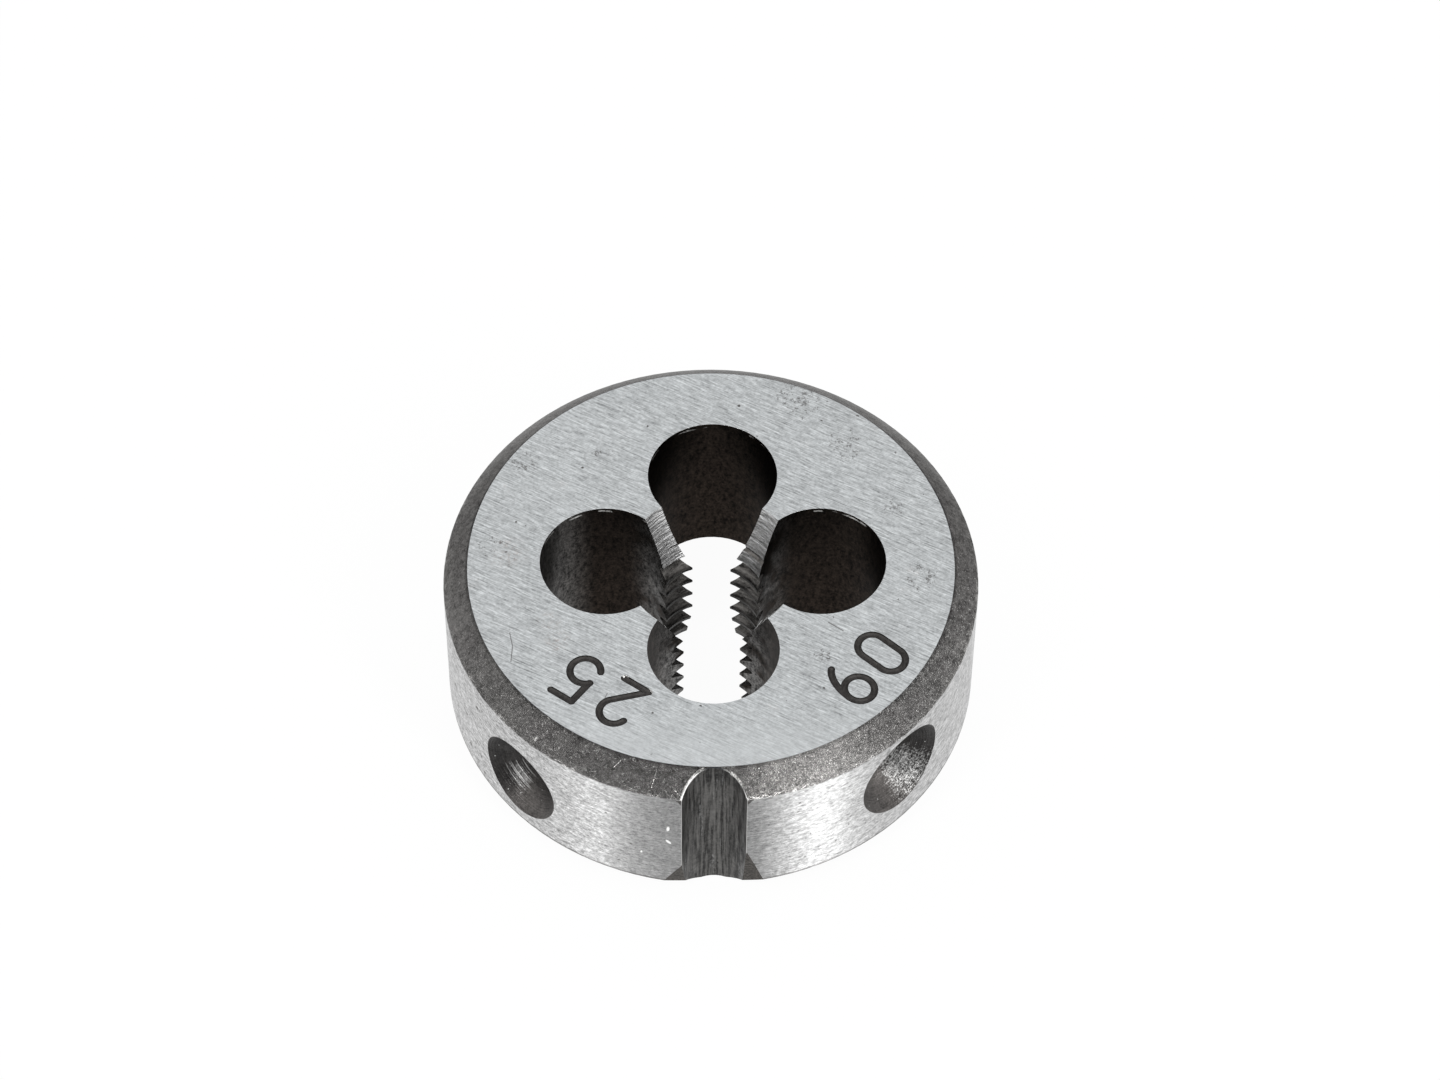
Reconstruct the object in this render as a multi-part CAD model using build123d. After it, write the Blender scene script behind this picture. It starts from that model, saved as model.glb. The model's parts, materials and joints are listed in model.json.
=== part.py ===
from build123d import *
import os
from math import asin, cos, pi, radians, sin, sqrt, tan

# Round threading die for a small metric thread, one hardened steel piece.
# Units are millimetres. The die lies flat: the origin is the middle of its lower face, +Z runs up
# along the bore to the marked face, and the adjusting groove looks along -Y.

# Body
outer_diameter = 25.0
thickness = 9.0
top_chamfer = 1.15
bottom_chamfer = 1.0

# Thread that the die cuts: a right-hand metric thread
thread_diameter = 6.0
pitch = 1.0
flank_angle = 60.0
crest_flat = 0.16
root_flat = 0.12
core_allowance = 1.0825
thread_start_angle = 108.0

# Lead tapers at the two ends of the thread: how far each mouth stands outside the teeth's crests
front_lead_width = 1.59
front_lead_half_angle = 26.0
back_lead_width = 0.24
back_lead_half_angle = 7.0

# Chip holes, drilled a little off the body's axis, and the width of the lands that they leave, at the crests
chip_hole_count = 4
chip_hole_diameter = 6.11
land_width = 1.485
chip_centre_x = 0.09
chip_centre_y = 0.19
chip_turn = 0.5

# Adjusting groove, a round-bottomed channel down the rim
groove_radius = 1.58
groove_depth = 1.12
groove_angle = -89.0

# Flats where the groove's lower corners were knocked back before the rim was ground
corner_flat_width = 0.8
corner_flat_sink = 0.25
left_flat_height = 1.4
right_flat_height = 2.5

# Screw seats in the rim: cones for the points of a holder's screws, each lifted from mid-height
seat_angle = 90.0
left_seat_angle = -135.4
left_seat_lift = -0.45
left_seat_diameter = 4.9
right_seat_angle = -44.4
right_seat_lift = 0.42
right_seat_diameter = 5.3
rear_seat_diameter = 5.1
rear_seat_spread = 45.0

# How far a cutter runs on past what it cuts, and how far in a lead's cone reaches, as a share of the core
overrun = 0.5
lead_tip_share = 0.9

outer_radius = outer_diameter / 2
core_radius = (thread_diameter - core_allowance * pitch) / 2
BASE = (Align.CENTER, Align.CENTER, Align.MIN)


def rim_point(angle, height, sink=0.0):
    """Point on the rim, or under it by a sink."""
    reach = outer_radius - sink
    return Vector(reach * cos(radians(angle)), reach * sin(radians(angle)), height)


def blank():
    """Turned blank: chamfered disc with a plain bore at the size of the teeth's crests."""
    section = Polyline(
        (core_radius, 0),
        (outer_radius - bottom_chamfer, 0),
        (outer_radius, bottom_chamfer),
        (outer_radius, thickness - top_chamfer),
        (outer_radius - top_chamfer, thickness),
        (core_radius, thickness),
        close=True,
    )
    return revolve(Plane.XZ * make_face(section), Axis.Z)


def lead_taper(width, half_angle):
    """Cone that opens one end of the bore, its mouth at the plane z = 0 and its tip above."""
    slope = tan(radians(half_angle))
    mouth_radius = core_radius + width
    tip_radius = core_radius * lead_tip_share
    run = (mouth_radius - tip_radius) / slope
    cone = Cone(mouth_radius + overrun * slope, tip_radius, run + overrun, align=BASE)
    return Pos(0, 0, -overrun) * cone


def thread_space():
    """Helical space between the teeth: its flanks run from the root to just inside the core."""
    flank_slope = tan(radians(flank_angle / 2))
    half_root = root_flat / 2
    half_space = (pitch - crest_flat) / 2
    half_mouth = half_space + crest_flat / 4
    root_radius = core_radius + (half_space - half_root) / flank_slope
    mouth_radius = core_radius - (half_mouth - half_space) / flank_slope
    front_run = (core_radius + front_lead_width - root_radius) / tan(radians(front_lead_half_angle))
    bottom = -pitch
    top = thickness - front_run + overrun
    path = Helix(pitch, top - bottom, core_radius, center=(0, 0, bottom))
    section = Polyline(
        (mouth_radius, bottom - half_mouth),
        (root_radius, bottom - half_root),
        (root_radius, bottom + half_root),
        (mouth_radius, bottom + half_mouth),
        close=True,
    )
    space = sweep(Plane.XZ * make_face(section), path=path, is_frenet=True)
    return Rot(0, 0, thread_start_angle) * space


def chip_holes():
    """Round holes that cut into the bore and leave a land of teeth between each two."""
    hole_radius = chip_hole_diameter / 2
    half_gap = pi / chip_hole_count - asin(land_width / 2 / core_radius)
    edge_reach = core_radius * cos(half_gap)
    edge_offset = core_radius * sin(half_gap)
    circle_radius = edge_reach + sqrt(hole_radius**2 - edge_offset**2)
    hole = Cylinder(hole_radius, thickness + 2 * overrun, align=BASE)
    centre = Pos(chip_centre_x, chip_centre_y, -overrun)
    return [centre * place * hole for place in PolarLocations(circle_radius, chip_hole_count, chip_turn)]


def groove():
    """Round-bottomed channel that runs down the rim."""
    cutter = Cylinder(groove_radius, thickness + 2 * overrun, align=BASE)
    return Pos(rim_point(groove_angle, -overrun, groove_depth - groove_radius)) * cutter


def corner_flat(side, height):
    """Cutter for the flat on one lower corner of the groove: side is -1 for left, 1 for right."""
    inset = groove_radius - groove_depth
    half_mouth = sqrt(groove_radius**2 - inset**2) if inset > 0 else groove_radius
    edge_angle = groove_angle + side * half_mouth / outer_radius / radians(1)
    foot_angle = edge_angle + side * corner_flat_width / outer_radius / radians(1)
    top = rim_point(edge_angle, bottom_chamfer + height)
    foot = rim_point(foot_angle, bottom_chamfer)
    inner = rim_point(edge_angle, bottom_chamfer, corner_flat_sink)
    outward = (foot - top).cross(inner - top)
    if outward.dot(rim_point(groove_angle, 0)) < 0:
        outward = outward * -1
    length = (foot - top).length
    face = Plane(origin=(top + foot) * 0.5, x_dir=foot - top, z_dir=outward)
    inward = 1 if face.y_dir.dot(rim_point(groove_angle, 0) - rim_point(edge_angle, 0)) > 0 else -1
    cutter = Box(2 * length, half_mouth, groove_depth, align=(Align.CENTER, Align.MIN, Align.MIN))
    return face * Pos(0, -corner_flat_sink if inward > 0 else corner_flat_sink - half_mouth, 0) * cutter


def screw_seat(angle, lift, diameter):
    """Conical seat sunk into the rim, its mouth wide at the rim's surface."""
    slope = tan(radians(seat_angle / 2))
    depth = diameter / 2 / slope
    cone = Cone(0, diameter / 2 + overrun * slope, depth + overrun, align=BASE)
    axis = rim_point(angle, 0)
    return Plane(origin=rim_point(angle, thickness / 2 + lift, depth), z_dir=axis) * cone


def screw_seats():
    """Two seats beside the groove and two across from them."""
    rear_angle = groove_angle + 180
    return [
        screw_seat(left_seat_angle, left_seat_lift, left_seat_diameter),
        screw_seat(right_seat_angle, right_seat_lift, right_seat_diameter),
        screw_seat(rear_angle - rear_seat_spread, 0, rear_seat_diameter),
        screw_seat(rear_angle + rear_seat_spread, 0, rear_seat_diameter),
    ]


def threading_die():
    """The whole die as one solid."""
    body = blank() - thread_space()
    body -= Plane.XY.offset(thickness) * Rot(180, 0, 0) * lead_taper(front_lead_width, front_lead_half_angle)
    body -= lead_taper(back_lead_width, back_lead_half_angle)
    body -= chip_holes()
    body -= groove()
    body -= [corner_flat(-1, left_flat_height), corner_flat(1, right_flat_height)]
    body -= screw_seats()
    return body


os.makedirs("parts", exist_ok=True)
export_step(threading_die(), "parts/threading_die.step")
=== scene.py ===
import json
import logging
from abc import ABC, abstractmethod
from collections.abc import Callable, Iterable, Iterator
from contextlib import contextmanager
from dataclasses import dataclass
from enum import Enum
from functools import reduce
from math import atan2, cos, hypot, pi, radians, sin, sqrt, tan
from typing import Any, ClassVar

import bpy
from mathutils import Euler, Matrix, Vector

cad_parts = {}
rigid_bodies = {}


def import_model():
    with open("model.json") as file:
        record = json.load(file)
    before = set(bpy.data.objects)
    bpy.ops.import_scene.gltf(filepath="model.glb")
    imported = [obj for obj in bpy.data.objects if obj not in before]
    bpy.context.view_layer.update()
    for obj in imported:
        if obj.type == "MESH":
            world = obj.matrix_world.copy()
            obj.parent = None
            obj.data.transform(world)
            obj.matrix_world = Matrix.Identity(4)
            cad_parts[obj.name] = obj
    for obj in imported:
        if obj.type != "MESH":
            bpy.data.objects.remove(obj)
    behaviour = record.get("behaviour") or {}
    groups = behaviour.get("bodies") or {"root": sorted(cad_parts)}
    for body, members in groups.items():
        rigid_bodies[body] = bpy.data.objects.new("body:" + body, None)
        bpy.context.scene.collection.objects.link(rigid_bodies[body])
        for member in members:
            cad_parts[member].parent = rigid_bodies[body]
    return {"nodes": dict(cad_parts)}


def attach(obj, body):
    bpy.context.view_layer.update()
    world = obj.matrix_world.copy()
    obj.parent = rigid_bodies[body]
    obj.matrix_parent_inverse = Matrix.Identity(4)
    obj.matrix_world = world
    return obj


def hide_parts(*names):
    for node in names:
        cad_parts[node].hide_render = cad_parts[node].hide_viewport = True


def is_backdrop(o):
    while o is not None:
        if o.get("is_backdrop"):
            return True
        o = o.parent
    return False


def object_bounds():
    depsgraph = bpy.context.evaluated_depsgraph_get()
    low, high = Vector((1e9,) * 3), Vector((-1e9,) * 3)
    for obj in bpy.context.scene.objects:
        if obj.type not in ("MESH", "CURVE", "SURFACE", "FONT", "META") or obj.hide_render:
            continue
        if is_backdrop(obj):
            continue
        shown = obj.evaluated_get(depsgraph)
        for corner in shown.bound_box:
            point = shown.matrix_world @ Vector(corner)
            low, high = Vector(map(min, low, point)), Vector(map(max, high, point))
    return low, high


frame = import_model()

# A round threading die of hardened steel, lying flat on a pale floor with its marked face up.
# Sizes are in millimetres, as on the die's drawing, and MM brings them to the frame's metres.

MM = 0.001
BODY = "root"
NODE = "threading_die"

Triple = tuple[float, float, float]
Colour = Triple
Point = tuple[float, float]
Span = tuple[float, float]

MIDDLE: Point = (0.0, 0.0)

log = logging.getLogger("threading_die")


class Surface(Enum):
    """The surfaces of the die that have a finish of their own, in the order of its material slots."""

    GROUND_FACE = "ground_face"
    RIM = "rim"
    CHAMFER = "chamfer"
    GROOVE = "groove"
    CORNER_FLAT = "corner_flat"
    CHIP_HOLE = "chip_hole"
    LEAD_TAPER = "lead_taper"
    TEETH = "teeth"
    SEAT_LEFT = "seat_left"
    SEAT_RIGHT = "seat_right"
    SEAT_REAR_RIGHT = "seat_rear_right"
    SEAT_REAR_LEFT = "seat_rear_left"
    ENGRAVING = "engraving"
    BROKEN_EDGE = "broken_edge"


@dataclass(frozen=True)
class DieSizes:
    """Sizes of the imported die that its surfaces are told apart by, in millimetres and degrees."""

    outer_radius: float = 12.5
    thickness: float = 9.0
    top_chamfer: float = 1.15
    bottom_chamfer: float = 1.0
    core_radius: float = 2.45875
    thread_root_radius: float = 3.08229
    thread_pitch: float = 1.0
    thread_root_flat: float = 0.12
    thread_half_flank: float = 30.0
    thread_start_angle: float = 108.0
    front_lead_width: float = 1.59
    front_lead_half_angle: float = 26.0
    back_lead_width: float = 0.24
    back_lead_half_angle: float = 7.0
    chip_centre: Point = (0.09, 0.19)
    chip_circle_radius: float = 5.02034
    chip_turn: float = 0.5
    chip_count: int = 4
    chip_hole_radius: float = 3.055
    groove_angle: float = -89.0
    groove_radius: float = 1.58
    groove_depth: float = 1.12

    @property
    def chamfer_edge(self) -> float:
        """Height of the edge between the rim and the upper chamfer."""
        return self.thickness - self.top_chamfer

    @property
    def face_radius(self) -> float:
        """Radius of the marked face."""
        return self.outer_radius - self.top_chamfer

    @property
    def groove_axis(self) -> Point:
        """Where the axis of the groove's round bottom stands."""
        reach = self.outer_radius - self.groove_depth + self.groove_radius
        return reach * cos(radians(self.groove_angle)), reach * sin(radians(self.groove_angle))

    @property
    def chip_axes(self) -> list[Point]:
        """Where the axes of the chip holes stand.

        Returns:
            Their places, seen from above.
        """
        (x, y), reach = self.chip_centre, self.chip_circle_radius
        turns = [radians(self.chip_turn + 360 / self.chip_count * i) for i in range(self.chip_count)]
        return [(x + reach * cos(turn), y + reach * sin(turn)) for turn in turns]


class Skin(ABC):
    """One exact surface of the die, given by how far outside the steel a spot is, in millimetres."""

    surface: Surface
    near: ClassVar[float] = 0.022
    alike: ClassVar[float] = 0.982
    step: ClassVar[float] = 0.00001

    @abstractmethod
    def gap(self, x: float, y: float, z: float) -> float:
        """Distance outside the surface, or less than 0 inside the steel."""

    def facing(self, spot: Vector) -> Vector:
        """Direction that points out of the steel at a spot, which is where the gap grows fastest.

        Args:
            spot: A place on the die.

        Returns:
            The direction, one unit long.
        """
        x, y, z = spot
        step = self.step
        across = self.gap(x + step, y, z) - self.gap(x - step, y, z)
        along = self.gap(x, y + step, z) - self.gap(x, y - step, z)
        up = self.gap(x, y, z + step) - self.gap(x, y, z - step)
        return Vector((across / step, along / step, up / step)).normalized()

    def fits(self, spot: Vector, normal: Vector) -> bool:
        """Whether a mesh face, given by its middle and direction, belongs to the surface."""
        return abs(self.gap(*spot)) < self.near and self.facing(spot).dot(normal) > self.alike


@dataclass(frozen=True)
class Turned(Skin):
    """A flat, wall or cone about an upright axis. It looks out at 0 degrees, up at 90 and in at 180."""

    surface: Surface
    radius: float
    height: float
    looks: float
    axis: Point = MIDDLE

    def gap(self, x: float, y: float, z: float) -> float:
        """Distance outside the surface, square to its section."""
        out = hypot(x - self.axis[0], y - self.axis[1]) - self.radius
        return out * cos(radians(self.looks)) + (z - self.height) * sin(radians(self.looks))


@dataclass(frozen=True)
class Flank(Skin):
    """One flank of the thread's teeth: side 1 looks up and side -1 looks down."""

    surface: Surface
    sizes: DieSizes
    side: int

    def gap(self, x: float, y: float, z: float) -> float:
        """Distance into the space between two teeth.

        Args:
            x: Place across the die.
            y: Place up the die, as seen from above.
            z: Height.

        Returns:
            The distance, in millimetres.
        """
        sizes = self.sizes
        slope = tan(radians(sizes.thread_half_flank))
        turn = (atan2(y, x) - radians(sizes.thread_start_angle)) / (2 * pi)
        lift = ((z / sizes.thread_pitch - turn + 0.5) % 1 - 0.5) * sizes.thread_pitch
        half_space = sizes.thread_root_flat / 2 + (sizes.thread_root_radius - hypot(x, y)) * slope
        return (half_space + lift * self.side) / hypot(1, slope)


@dataclass(frozen=True)
class ScrewSeat(Skin):
    """One conical seat in the rim: where its axis points, how high it stands and how wide its mouth is."""

    surface: Surface
    angle: float
    height: float
    diameter: float
    rim_radius: float

    def gap(self, x: float, y: float, z: float) -> float:
        """Distance into the seat, or a long way on the die's other side.

        Args:
            x: Place across the die.
            y: Place up the die, as seen from above.
            z: Height.

        Returns:
            The distance, in millimetres.
        """
        turn = radians(self.angle)
        along = x * cos(turn) + y * sin(turn)
        across = hypot(y * cos(turn) - x * sin(turn), z - self.height)
        tip = self.rim_radius - self.diameter / 2
        return (along - tip - across) / sqrt(2) if along > 0 else self.rim_radius

    def facing(self, spot: Vector) -> Vector:
        """Square to the cone, out of its mouth and towards its axis, and given at its tip too.

        Args:
            spot: A place on the die.

        Returns:
            The direction, one unit long.
        """
        axis = Vector((cos(radians(self.angle)), sin(radians(self.angle)), 0))
        away = spot - Vector((0, 0, self.height))
        across = away - axis * away.dot(axis)
        return (axis - across.normalized()).normalized()


SIZES = DieSizes()
SEATS = (
    ScrewSeat(Surface.SEAT_LEFT, -135.4, 4.05, 4.9, SIZES.outer_radius),
    ScrewSeat(Surface.SEAT_RIGHT, -44.4, 4.92, 5.3, SIZES.outer_radius),
    ScrewSeat(Surface.SEAT_REAR_RIGHT, 46.0, 4.5, 5.1, SIZES.outer_radius),
    ScrewSeat(Surface.SEAT_REAR_LEFT, 136.0, 4.5, 5.1, SIZES.outer_radius),
)


def die_skins(sizes: DieSizes) -> list[Skin]:
    """Lists the exact surfaces of the die.

    Args:
        sizes: The die's sizes.

    Returns:
        The surfaces, in the order in which they are tried.
    """
    top, outer, core = sizes.thickness, sizes.outer_radius, sizes.core_radius
    return [
        Turned(Surface.GROUND_FACE, 0.0, top, 90.0),
        Turned(Surface.GROUND_FACE, 0.0, 0.0, -90.0),
        Turned(Surface.RIM, outer, 0.0, 0.0),
        Turned(Surface.CHAMFER, sizes.face_radius, top, 45.0),
        Turned(Surface.CHAMFER, outer - sizes.bottom_chamfer, 0.0, -45.0),
        *SEATS,
        Turned(Surface.GROOVE, sizes.groove_radius, 0.0, 180.0, sizes.groove_axis),
        *(Turned(Surface.CHIP_HOLE, sizes.chip_hole_radius, 0.0, 180.0, axis) for axis in sizes.chip_axes),
        Turned(Surface.LEAD_TAPER, core + sizes.front_lead_width, top, 180.0 - sizes.front_lead_half_angle),
        Turned(Surface.TEETH, core + sizes.back_lead_width, 0.0, 180.0 + sizes.back_lead_half_angle),
        Flank(Surface.TEETH, sizes, 1),
        Flank(Surface.TEETH, sizes, -1),
        Turned(Surface.TEETH, core, 0.0, 180.0),
        Turned(Surface.TEETH, sizes.thread_root_radius, 0.0, 180.0),
    ]


class Bench:
    """Steps that the die's piece is made with, as by hand."""

    @staticmethod
    def only(obj: bpy.types.Object) -> None:
        """Selects one object alone and makes it active.

        Args:
            obj: The object.
        """
        bpy.ops.object.select_all(action="DESELECT")
        obj.select_set(True)
        bpy.context.view_layer.objects.active = obj

    @staticmethod
    @contextmanager
    def editing(obj: bpy.types.Object) -> Iterator[None]:
        """Holds one object in edit mode, alone and active.

        Args:
            obj: The mesh object.

        Yields:
            Once, while edit mode is on.
        """
        Bench.only(obj)
        bpy.ops.object.mode_set(mode="EDIT")
        yield
        bpy.ops.object.mode_set(mode="OBJECT")

    @staticmethod
    def resize(obj: bpy.types.Object, factor: float) -> None:
        """Scales an object about the frame's origin and applies it to the mesh.

        Args:
            obj: The object.
            factor: How many times as large it gets.
        """
        Bench.only(obj)
        bpy.ops.transform.resize(value=(factor, factor, factor), center_override=(0, 0, 0))
        bpy.ops.object.transform_apply(location=True, rotation=True, scale=True)

    @staticmethod
    def merge(obj: bpy.types.Object, distance: float, flat_angle: float) -> None:
        """Joins a mesh's loose triangles and dissolves the edges inside its flat faces.

        Args:
            obj: The mesh object.
            distance: Vertices nearer than this become one.
            flat_angle: Edges whose faces turn by less than this go, in degrees.
        """
        with Bench.editing(obj):
            bpy.ops.mesh.select_all(action="SELECT")
            bpy.ops.mesh.remove_doubles(threshold=distance)
            bpy.ops.mesh.dissolve_limited(angle_limit=radians(flat_angle))

    @staticmethod
    def break_edges(
        obj: bpy.types.Object,
        sharpness: float,
        keep: Callable[[Vector], bool],
        width: float,
        segments: int = 1,
    ) -> int:
        """Bevels the sharp edges of a mesh whose middles pass a test.

        Args:
            obj: The mesh object.
            sharpness: The least turn between an edge's faces, in degrees.
            keep: Says for an edge's middle whether the edge is broken.
            width: How far the new faces reach from each edge.
            segments: How many faces each edge becomes.

        Returns:
            How many edges are broken.
        """
        with Bench.editing(obj):
            bpy.ops.mesh.select_mode(type="EDGE")
            bpy.ops.mesh.select_all(action="DESELECT")
            bpy.ops.mesh.edges_select_sharp(sharpness=radians(sharpness))
        mesh = obj.data
        sharp = [edge for edge in mesh.edges if edge.select]
        ends = {edge: [mesh.vertices[corner] for corner in edge.vertices] for edge in sharp}
        chosen = [edge for edge, (start, end) in ends.items() if keep((start.co + end.co) / 2)]
        for part in (mesh.vertices, mesh.edges, mesh.polygons):
            part.foreach_set("select", [False] * len(part))
        for edge in chosen:
            for picked in (edge, *ends[edge]):
                picked.select = True
        with Bench.editing(obj):
            bpy.ops.mesh.bevel(
                offset_type="OFFSET", offset=width, segments=segments, affect="EDGES", clamp_overlap=True
            )
        return len(chosen)

    @staticmethod
    def cut(obj: bpy.types.Object, cutter: bpy.types.Object) -> None:
        """Cuts one mesh out of another and removes the cutter.

        Args:
            obj: The mesh that is cut.
            cutter: The mesh that cuts.
        """
        Bench.only(obj)
        modifier = obj.modifiers.new("cut", "BOOLEAN")
        modifier.operation = "DIFFERENCE"
        modifier.solver = "EXACT"
        modifier.object = cutter
        bpy.ops.object.modifier_apply(modifier=modifier.name)
        bpy.data.objects.remove(cutter)


@dataclass(frozen=True)
class Stroke:
    """One stroke of the engraving tool, in the digit's own upright frame, in millimetres."""

    points: tuple[Point, ...]
    closed: bool = False

    @staticmethod
    def line(start: Point, end: Point, steps: int = 12) -> "Stroke":
        """A straight stroke between two points, in a number of steps."""
        shares = [i / steps for i in range(steps + 1)]
        return Stroke(tuple(tuple(a + (b - a) * share for a, b in zip(start, end)) for share in shares))

    @staticmethod
    def arc(centre: Point, radii: Point, start: float, end: float, steps: int = 28) -> "Stroke":
        """A stroke along an ellipse, or round the whole of it.

        Args:
            centre: The ellipse's middle.
            radii: Its half width and half height.
            start: The angle where the stroke starts, in degrees.
            end: The angle where it ends.
            steps: How many runs it has.

        Returns:
            The stroke.
        """
        (x, y), (wide, high) = centre, radii
        full = abs(end - start) >= 360
        turns = [radians(start + (end - start) * i / steps) for i in range(steps if full else steps + 1)]
        return Stroke(tuple((x + wide * cos(turn), y + high * sin(turn)) for turn in turns), closed=full)


# Each digit stands upright about its own middle.
DIGIT_HEIGHT = 2.45
DIGITS: dict[str, tuple[Stroke, ...]] = {
    "0": (
        Stroke.line((-0.675, -0.55), (-0.675, 0.55)),
        Stroke.line((0.675, -0.55), (0.675, 0.55)),
        Stroke.arc((0.0, -0.55), (0.675, 0.675), 0.0, -180.0),
        Stroke.arc((0.0, 0.55), (0.675, 0.675), 0.0, 180.0),
    ),
    "2": (
        Stroke.arc((0.0, 0.55), (0.675, 0.675), 165.0, -35.0),
        Stroke.line((0.552928, 0.162836), (-0.675, -1.225)),
        Stroke.line((-0.675, -1.225), (0.675, -1.225)),
    ),
    "5": (
        Stroke.line((0.6075, 1.225), (-0.54, 1.225)),
        Stroke.line((-0.54, 1.225), (-0.6075, -0.076825)),
        Stroke.arc((-0.0675, -0.51625), (0.70875, 0.70875), 142.0, -150.0),
    ),
    "9": (
        Stroke.arc((0.0, 0.51625), (0.6733125, 0.70875), 0.0, 360.0),
        Stroke.arc((-0.27, 0.51625), (0.9433125, 1.74125), 0.0, -72.0),
    ),
}


@dataclass(frozen=True)
class EngravedNumber:
    """A plain number cut into the marked face with a round-nosed tool."""

    digits: str
    middle: Point
    up_angle: float
    spacing: float
    stroke_radius: float = 0.19
    stroke_lift: float = 0.05
    margin: float = 0.1
    nose_steps: int = 4
    nose_tip: float = 0.05
    roundness: int = 3

    def places(self) -> list[Point]:
        """Where the digits stand.

        Returns:
            The middle of each digit on the marked face.
        """
        up = radians(self.up_angle)
        across = (sin(up), -cos(up))
        offsets = [(i - (len(self.digits) - 1) / 2) * self.spacing for i in range(len(self.digits))]
        return [(self.middle[0] + across[0] * o, self.middle[1] + across[1] * o) for o in offsets]

    def near(self, spot: Vector) -> bool:
        """Whether a spot is close enough to a digit to belong to it."""
        reach = DIGIT_HEIGHT / 2 + self.stroke_radius + self.margin
        return any(hypot(spot.x - x, spot.y - y) < reach for x, y in self.places())

    def rounded_ends(self, points: list[Vector]) -> list[tuple[Vector, float]]:
        """Adds a round nose past both ends of an open stroke.

        Args:
            points: The stroke's points on the face.

        Returns:
            Each point with the share of the tool's radius there.
        """
        first = (points[0] - points[1]).normalized() * self.stroke_radius
        last = (points[-1] - points[-2]).normalized() * self.stroke_radius
        turns = [pi / 2 * i / self.nose_steps for i in range(1, self.nose_steps + 1)]
        nose = [(sin(turn), max(cos(turn), self.nose_tip)) for turn in turns]
        head = [(points[0] + first * reach, share) for reach, share in reversed(nose)]
        tail = [(points[-1] + last * reach, share) for reach, share in nose]
        return head + [(point, 1.0) for point in points] + tail

    def tool_path(self, stroke: Stroke, place: Point, face_height: float) -> bpy.types.Object:
        """Solid that the tool sweeps along one stroke, with round ends.

        Args:
            stroke: The stroke in the digit's own frame.
            place: The digit's middle on the face.
            face_height: Height of the face.

        Returns:
            A mesh object that is ready to be cut out.
        """
        right, up = sin(radians(self.up_angle)), cos(radians(self.up_angle))
        height = face_height + self.stroke_lift
        x, y = place
        spots = [(x + right * a + up * b, y - up * a + right * b, height) for a, b in stroke.points]
        points = [Vector(spot) for spot in spots]
        knots = [(point, 1.0) for point in points] if stroke.closed else self.rounded_ends(points)
        curve = bpy.data.curves.new("tool_path", "CURVE")
        curve.dimensions = "3D"
        curve.bevel_depth = self.stroke_radius
        curve.bevel_resolution = self.roundness
        curve.use_fill_caps = True
        spline = curve.splines.new("POLY")
        spline.points.add(len(knots) - 1)
        for knot, (point, share) in zip(spline.points, knots):
            knot.co = (*point, 1)
            knot.radius = share
        spline.use_cyclic_u = stroke.closed
        obj = bpy.data.objects.new("tool_path", curve)
        bpy.context.scene.collection.objects.link(obj)
        Bench.only(obj)
        bpy.ops.object.convert(target="MESH")
        return bpy.context.view_layer.objects.active

    def engrave(self, obj: bpy.types.Object, face_height: float) -> None:
        """Cuts the number into a body.

        Args:
            obj: The body, its mesh in millimetres.
            face_height: Height of the marked face.
        """
        for digit, place in zip(self.digits, self.places()):
            for stroke in DIGITS[digit]:
                Bench.cut(obj, self.tool_path(stroke, place, face_height))


NUMBERS = (
    EngravedNumber("25", (-5.07, -7.2), 235.2, 2.45),
    EngravedNumber("09", (7.14, -5.84), -40.7, 2.2),
)


class Field:
    """A number or vector that varies over a surface: a shader socket that takes arithmetic."""

    def __init__(self, shop: "PaintShop", socket: bpy.types.NodeSocket) -> None:
        """Keeps the socket and the shop whose nodes it belongs to."""
        self.shop = shop
        self.socket = socket

    def __add__(self, other: "Field | float") -> "Field":
        """Sum."""
        return self.shop.maths("ADD", self, other)

    def __sub__(self, other: "Field | float") -> "Field":
        """Difference."""
        return self.shop.maths("SUBTRACT", self, other)

    def __rsub__(self, other: float) -> "Field":
        """Difference, number first."""
        return self.shop.maths("SUBTRACT", other, self)

    def __mul__(self, other: "Field | float") -> "Field":
        """Product."""
        return self.shop.maths("MULTIPLY", self, other)

    def __truediv__(self, other: "Field | float") -> "Field":
        """Quotient."""
        return self.shop.maths("DIVIDE", self, other)

    def __neg__(self) -> "Field":
        """The same with its sign turned."""
        return self * -1.0

    __radd__ = __add__
    __rmul__ = __mul__

    def size(self) -> "Field":
        """The same without its sign."""
        return self.shop.maths("ABSOLUTE", self)

    def swing(self, strength: "Field | float") -> "Field":
        """Its swing about a half, so many times as strong."""
        return (self - 0.5) * strength

    def diagonal(self, other: "Field") -> "Field":
        """Length of the diagonal of two sides."""
        return self.shop.maths("SQRT", self * self + other * other)

    def most(self, other: "Field | float") -> "Field":
        """The larger of two."""
        return self.shop.maths("MAXIMUM", self, other)

    def least(self, other: "Field | float") -> "Field":
        """The smaller of two."""
        return self.shop.maths("MINIMUM", self, other)

    def ramp(self, low: float, high: float) -> "Field":
        """Smooth step, which falls instead of rising where low is the larger number.

        Args:
            low: Where the step is 0.
            high: Where it is 1.

        Returns:
            The step.
        """
        limits = {"Value": self, "From Min": min(low, high), "From Max": max(low, high)}
        node = self.shop.make("ShaderNodeMapRange", {"interpolation_type": "SMOOTHSTEP"}, limits)
        step = Field(self.shop, node.outputs["Result"])
        return step if low < high else 1 - step


def strongest(masks: Iterable[Field]) -> Field:
    """The largest of several masks."""
    return reduce(Field.most, masks)


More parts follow.
